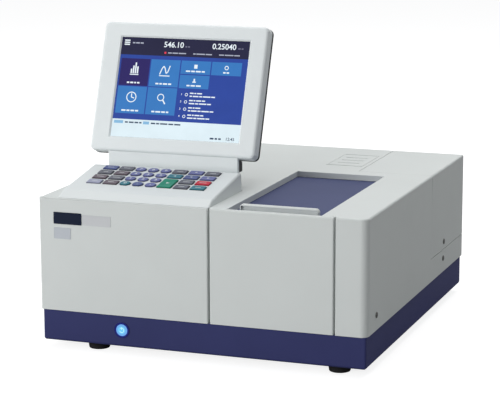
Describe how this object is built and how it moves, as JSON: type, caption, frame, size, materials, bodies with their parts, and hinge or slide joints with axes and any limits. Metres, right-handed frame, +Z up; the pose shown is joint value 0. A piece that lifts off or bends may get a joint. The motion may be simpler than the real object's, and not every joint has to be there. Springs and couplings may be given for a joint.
{
  "type": "uv-vis spectrophotometer",
  "caption": "Bench optical spectrophotometer with a tilting display, a sloped keypad console and a sliding lid over the sample compartment.",
  "frame": {"origin": "middle of the footprint, on the surface that the feet stand on", "axes": "+X to the operator's right, +Y from the front to the rear, +Z up"},
  "size_m": [0.5012, 0.55, 0.4608],
  "materials": {
    "white_plastic": "smooth satin moulded plastic",
    "base_blue": "fine satin paint on plastic",
    "rubber_black": "matt rubber",
    "lid_violet": "satin moulded plastic",
    "screen_blue": "lit display behind a gloss front",
    "cover_black": "fine textured plastic",
    "bracket_black": "satin paint",
    "button_light": "lit translucent plastic",
    "screw_steel": "plated steel",
    "liner_black": "matt optical black",
    "holder_black": "black anodised",
    "cast_grey": "bare casting",
    "house_grey": "sheet metal",
    "lamp_glass": "clear quartz",
    "mirror_silver": "polished",
    "detector_black": "satin",
    "board_green": "solder mask",
    "fan_black": "moulded plastic",
    "panel_grey": "satin paint",
    "connector_black": "moulded plastic",
    "key_grey": "satin key cap",
    "key_dark": "satin key cap",
    "key_blue": "satin key cap",
    "key_violet": "satin key cap",
    "key_teal": "satin key cap",
    "key_green": "satin key cap",
    "key_red": "satin key cap",
    "key_light": "satin key cap"
  },
  "bodies": {
    "cabinet": {"base_skirt": "base_blue", "rubber_feet": "rubber_black", "main_cover": "white_plastic", "left_front_panel": "white_plastic", "sample_front_panel": "white_plastic", "lamp_cover": "white_plastic", "rear_panel": "panel_grey", "rear_connectors": "connector_black", "console_housing": "white_plastic", "cover_screws": "screw_steel", "sample_chamber": "liner_black", "cell_holder": "holder_black", "optical_bench": "cast_grey", "lamp_house": "house_grey", "source_lamps": "lamp_glass", "detector_block": "detector_black", "circuit_boards": "board_green", "fan_frame": "fan_black"},
    "lid": {"sample_lid": "lid_violet", "lid_handle": "white_plastic"},
    "display": {"display_bezel": "white_plastic", "lcd_panel": "screen_blue", "display_back_cover": "cover_black", "neck_bracket": "bracket_black", "neck_cover": "white_plastic"},
    "button": {"power_button": "button_light"},
    "fan": {"fan_rotor": "fan_black"},
    "grating_table": {"grating": "mirror_silver"},
    "mirror_table": {"source_mirror": "mirror_silver"},
    "key_row1_column1": {"key_row1_column1": "key_blue"},
    "key_row1_column2": {"key_row1_column2": "key_grey"},
    "key_row1_column3": {"key_row1_column3": "key_violet"},
    "key_row1_column4": {"key_row1_column4": "key_violet"},
    "key_row1_column5": {"key_row1_column5": "key_violet"},
    "key_row1_column6": {"key_row1_column6": "key_grey"},
    "key_row1_column7": {"key_row1_column7": "key_violet"},
    "key_row1_column8": {"key_row1_column8": "key_grey"},
    "key_row2_column1": {"key_row2_column1": "key_grey"},
    "key_row2_column2": {"key_row2_column2": "key_dark"},
    "key_row2_column3": {"key_row2_column3": "key_violet"},
    "key_row2_column4": {"key_row2_column4": "key_violet"},
    "key_row2_column5": {"key_row2_column5": "key_violet"},
    "key_row2_column6": {"key_row2_column6": "key_teal"},
    "key_row2_column7": {"key_row2_column7": "key_blue"},
    "key_row2_column8": {"key_row2_column8": "key_violet"},
    "key_row3_column1": {"key_row3_column1": "key_dark"},
    "key_row3_column2": {"key_row3_column2": "key_grey"},
    "key_row3_column3": {"key_row3_column3": "key_violet"},
    "key_row3_column4": {"key_row3_column4": "key_violet"},
    "key_row3_column5": {"key_row3_column5": "key_violet"},
    "key_row3_column6": {"key_row3_column6": "key_green"},
    "key_row3_column7": {"key_row3_column7": "key_grey"},
    "key_row3_column8": {"key_row3_column8": "key_red"},
    "key_row4_column1": {"key_row4_column1": "key_light"},
    "key_row4_column2": {"key_row4_column2": "key_dark"},
    "key_row4_column3": {"key_row4_column3": "key_teal"},
    "key_row4_column4": {"key_row4_column4": "key_blue"},
    "key_row4_column5": {"key_row4_column5": "key_violet"},
    "key_row4_column7": {"key_row4_column7": "key_grey"},
    "key_row4_column8": {"key_row4_column8": "key_teal"}
  },
  "joints": [
    {"name": "lid_slide", "type": "slide", "parent": "cabinet", "child": "lid", "axis": [0, 1, 0], "range_m": [0, 0.2]},
    {"name": "display_tilt", "type": "hinge", "parent": "cabinet", "child": "display", "pos_m": [-0.105, -0.10099, 0.2395], "axis": [-1, 0, 0], "range_deg": [-15, 60]},
    {"name": "power_press", "type": "slide", "parent": "cabinet", "child": "button", "axis": [0, 1, 0], "range_m": [0, 0.0025], "stiffness_N_per_m": 400},
    {"name": "fan_spin", "type": "hinge", "parent": "cabinet", "child": "fan", "pos_m": [0.188, 0.2565, 0.15], "axis": [0, 1, 0], "continuous": true},
    {"name": "grating_turn", "type": "hinge", "parent": "cabinet", "child": "grating_table", "pos_m": [0.02, 0.13, 0.07], "axis": [0, 0, 1], "range_deg": [-35, 35]},
    {"name": "mirror_turn", "type": "hinge", "parent": "cabinet", "child": "mirror_table", "pos_m": [0.166, 0.168, 0.07], "axis": [0, 0, 1], "range_deg": [-50, 50]},
    {"name": "press_row1_column1", "type": "slide", "parent": "cabinet", "child": "key_row1_column1", "axis": [0, 0.165, -0.9863], "range_m": [0, 0.0012], "stiffness_N_per_m": 333},
    {"name": "press_row1_column2", "type": "slide", "parent": "cabinet", "child": "key_row1_column2", "axis": [0, 0.165, -0.9863], "range_m": [0, 0.0012], "stiffness_N_per_m": 333},
    {"name": "press_row1_column3", "type": "slide", "parent": "cabinet", "child": "key_row1_column3", "axis": [0, 0.165, -0.9863], "range_m": [0, 0.0012], "stiffness_N_per_m": 333},
    {"name": "press_row1_column4", "type": "slide", "parent": "cabinet", "child": "key_row1_column4", "axis": [0, 0.165, -0.9863], "range_m": [0, 0.0012], "stiffness_N_per_m": 333},
    {"name": "press_row1_column5", "type": "slide", "parent": "cabinet", "child": "key_row1_column5", "axis": [0, 0.165, -0.9863], "range_m": [0, 0.0012], "stiffness_N_per_m": 333},
    {"name": "press_row1_column6", "type": "slide", "parent": "cabinet", "child": "key_row1_column6", "axis": [0, 0.165, -0.9863], "range_m": [0, 0.0012], "stiffness_N_per_m": 333},
    {"name": "press_row1_column7", "type": "slide", "parent": "cabinet", "child": "key_row1_column7", "axis": [0, 0.165, -0.9863], "range_m": [0, 0.0012], "stiffness_N_per_m": 333},
    {"name": "press_row1_column8", "type": "slide", "parent": "cabinet", "child": "key_row1_column8", "axis": [0, 0.165, -0.9863], "range_m": [0, 0.0012], "stiffness_N_per_m": 333},
    {"name": "press_row2_column1", "type": "slide", "parent": "cabinet", "child": "key_row2_column1", "axis": [0, 0.165, -0.9863], "range_m": [0, 0.0012], "stiffness_N_per_m": 333},
    {"name": "press_row2_column2", "type": "slide", "parent": "cabinet", "child": "key_row2_column2", "axis": [0, 0.165, -0.9863], "range_m": [0, 0.0012], "stiffness_N_per_m": 333},
    {"name": "press_row2_column3", "type": "slide", "parent": "cabinet", "child": "key_row2_column3", "axis": [0, 0.165, -0.9863], "range_m": [0, 0.0012], "stiffness_N_per_m": 333},
    {"name": "press_row2_column4", "type": "slide", "parent": "cabinet", "child": "key_row2_column4", "axis": [0, 0.165, -0.9863], "range_m": [0, 0.0012], "stiffness_N_per_m": 333},
    {"name": "press_row2_column5", "type": "slide", "parent": "cabinet", "child": "key_row2_column5", "axis": [0, 0.165, -0.9863], "range_m": [0, 0.0012], "stiffness_N_per_m": 333},
    {"name": "press_row2_column6", "type": "slide", "parent": "cabinet", "child": "key_row2_column6", "axis": [0, 0.165, -0.9863], "range_m": [0, 0.0012], "stiffness_N_per_m": 333},
    {"name": "press_row2_column7", "type": "slide", "parent": "cabinet", "child": "key_row2_column7", "axis": [0, 0.165, -0.9863], "range_m": [0, 0.0012], "stiffness_N_per_m": 333},
    {"name": "press_row2_column8", "type": "slide", "parent": "cabinet", "child": "key_row2_column8", "axis": [0, 0.165, -0.9863], "range_m": [0, 0.0012], "stiffness_N_per_m": 333},
    {"name": "press_row3_column1", "type": "slide", "parent": "cabinet", "child": "key_row3_column1", "axis": [0, 0.165, -0.9863], "range_m": [0, 0.0012], "stiffness_N_per_m": 333},
    {"name": "press_row3_column2", "type": "slide", "parent": "cabinet", "child": "key_row3_column2", "axis": [0, 0.165, -0.9863], "range_m": [0, 0.0012], "stiffness_N_per_m": 333},
    {"name": "press_row3_column3", "type": "slide", "parent": "cabinet", "child": "key_row3_column3", "axis": [0, 0.165, -0.9863], "range_m": [0, 0.0012], "stiffness_N_per_m": 333},
    {"name": "press_row3_column4", "type": "slide", "parent": "cabinet", "child": "key_row3_column4", "axis": [0, 0.165, -0.9863], "range_m": [0, 0.0012], "stiffness_N_per_m": 333},
    {"name": "press_row3_column5", "type": "slide", "parent": "cabinet", "child": "key_row3_column5", "axis": [0, 0.165, -0.9863], "range_m": [0, 0.0012], "stiffness_N_per_m": 333},
    {"name": "press_row3_column6", "type": "slide", "parent": "cabinet", "child": "key_row3_column6", "axis": [0, 0.165, -0.9863], "range_m": [0, 0.0012], "stiffness_N_per_m": 333},
    {"name": "press_row3_column7", "type": "slide", "parent": "cabinet", "child": "key_row3_column7", "axis": [0, 0.165, -0.9863], "range_m": [0, 0.0012], "stiffness_N_per_m": 333},
    {"name": "press_row3_column8", "type": "slide", "parent": "cabinet", "child": "key_row3_column8", "axis": [0, 0.165, -0.9863], "range_m": [0, 0.0012], "stiffness_N_per_m": 333},
    {"name": "press_row4_column1", "type": "slide", "parent": "cabinet", "child": "key_row4_column1", "axis": [0, 0.165, -0.9863], "range_m": [0, 0.0012], "stiffness_N_per_m": 333},
    {"name": "press_row4_column2", "type": "slide", "parent": "cabinet", "child": "key_row4_column2", "axis": [0, 0.165, -0.9863], "range_m": [0, 0.0012], "stiffness_N_per_m": 333},
    {"name": "press_row4_column3", "type": "slide", "parent": "cabinet", "child": "key_row4_column3", "axis": [0, 0.165, -0.9863], "range_m": [0, 0.0012], "stiffness_N_per_m": 333},
    {"name": "press_row4_column4", "type": "slide", "parent": "cabinet", "child": "key_row4_column4", "axis": [0, 0.165, -0.9863], "range_m": [0, 0.0012], "stiffness_N_per_m": 333},
    {"name": "press_row4_column5", "type": "slide", "parent": "cabinet", "child": "key_row4_column5", "axis": [0, 0.165, -0.9863], "range_m": [0, 0.0012], "stiffness_N_per_m": 333},
    {"name": "press_row4_column7", "type": "slide", "parent": "cabinet", "child": "key_row4_column7", "axis": [0, 0.165, -0.9863], "range_m": [0, 0.0012], "stiffness_N_per_m": 333},
    {"name": "press_row4_column8", "type": "slide", "parent": "cabinet", "child": "key_row4_column8", "axis": [0, 0.165, -0.9863], "range_m": [0, 0.0012], "stiffness_N_per_m": 333}
  ]
}
